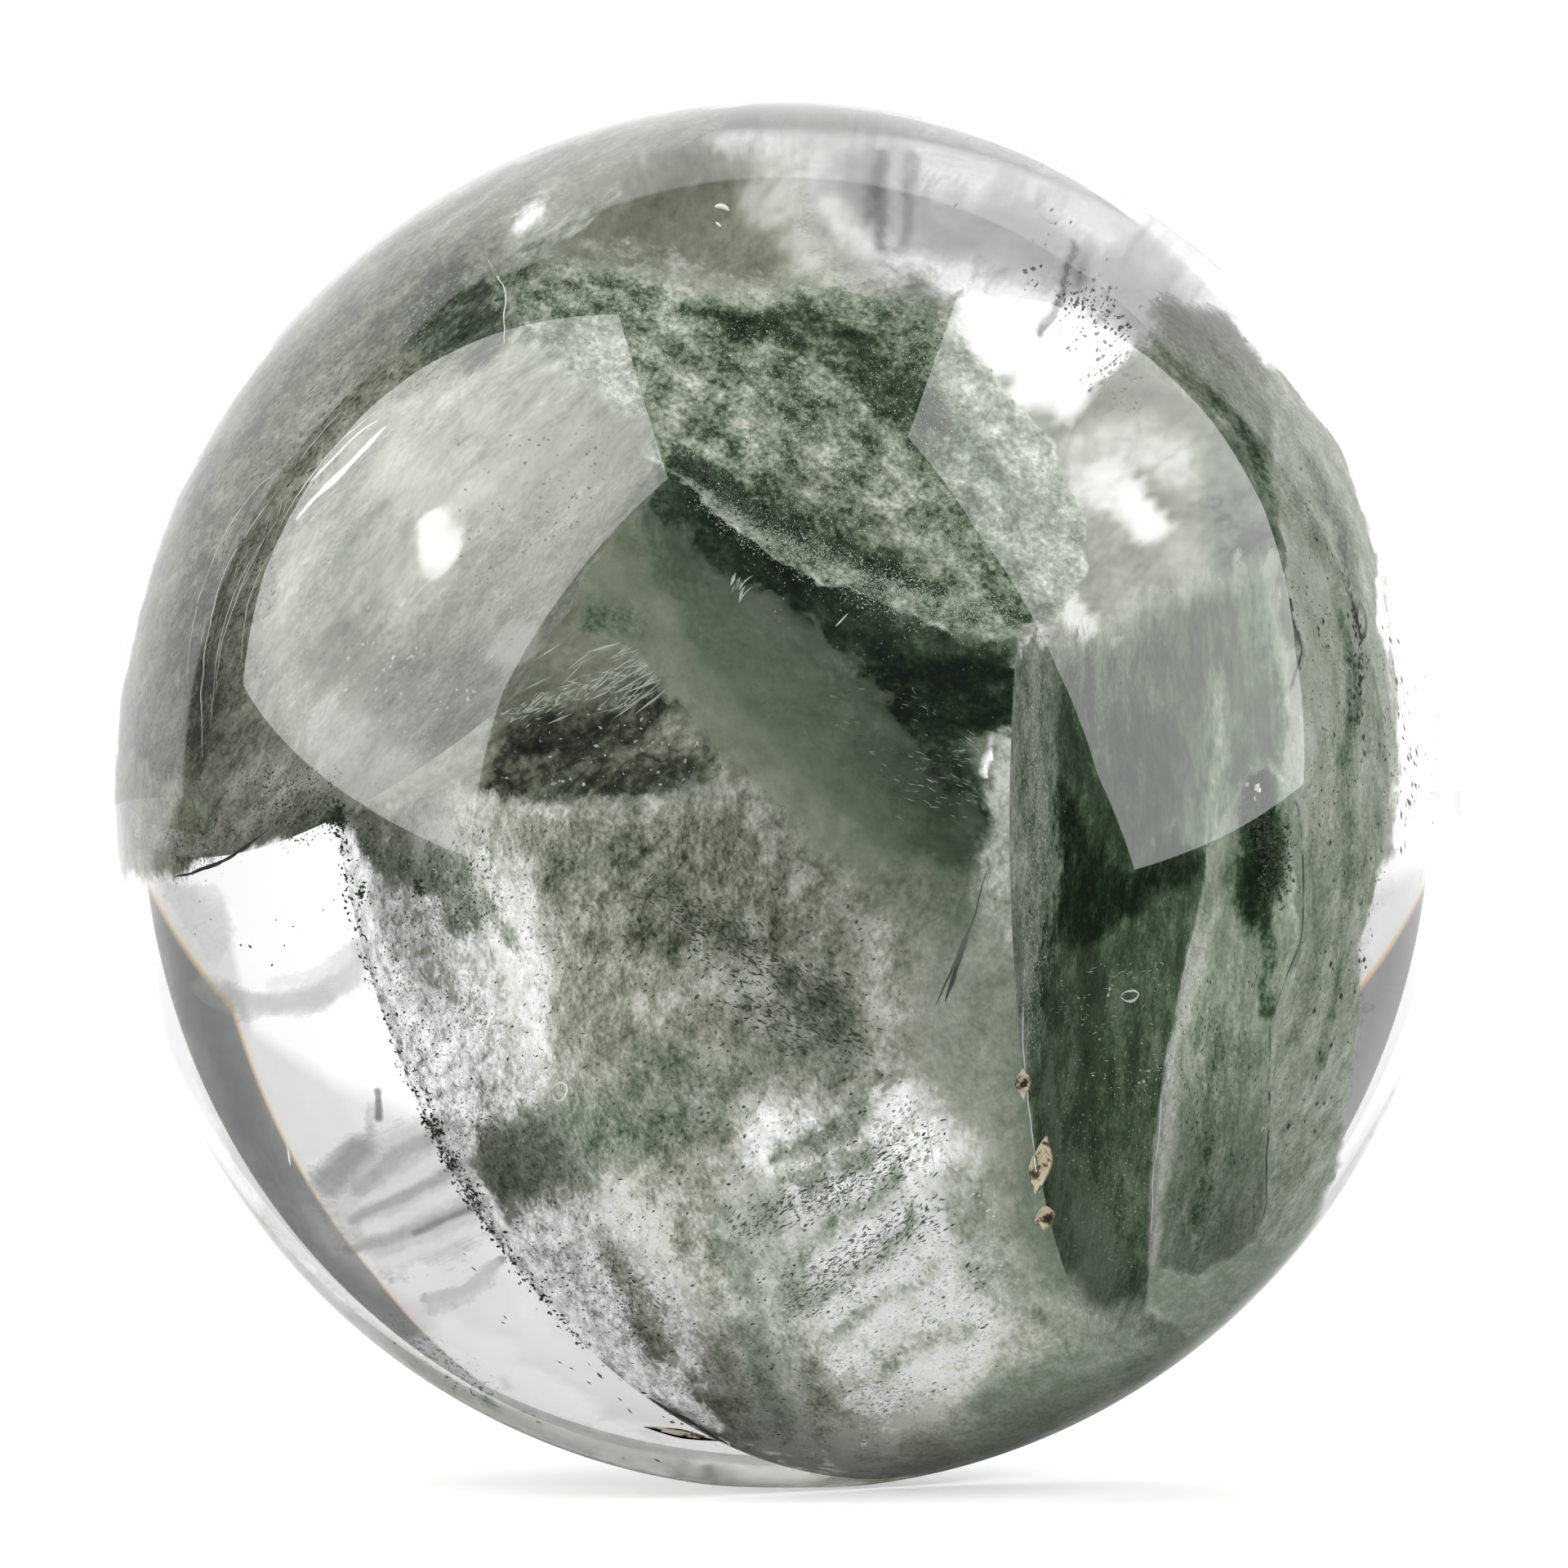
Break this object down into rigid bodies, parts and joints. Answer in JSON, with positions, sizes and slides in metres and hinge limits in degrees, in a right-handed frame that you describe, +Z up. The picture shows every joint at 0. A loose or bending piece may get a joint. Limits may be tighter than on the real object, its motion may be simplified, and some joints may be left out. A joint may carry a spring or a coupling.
{
  "type": "chlorite quartz sphere",
  "caption": "Polished ball of clear quartz with green chlorite veils and grains grown inside it, standing on a small contact flat.",
  "frame": {"origin": "middle of the small contact flat under the ball, on the surface it stands on", "axes": "+Z up along the ball's height, which is its longest extent; -Y is the front, the side that the picture shows; +X to the right seen from the front"},
  "size_m": [0.04, 0.04, 0.0409],
  "materials": {
    "chlorite_quartz": "polished",
    "chlorite": "matte",
    "milky_veil": "matte",
    "healed_crack": "polished"
  },
  "bodies": {
    "root": {"quartz_ball": "chlorite_quartz", "quartz_cap": "chlorite_quartz", "main_phantom": "chlorite", "upper_left_veil": "chlorite", "back_veil": "chlorite", "sugary_ledge": "chlorite", "inner_curtain": "chlorite", "seam_wall": "chlorite", "green_mass": "chlorite"}
  },
  "joints": []
}
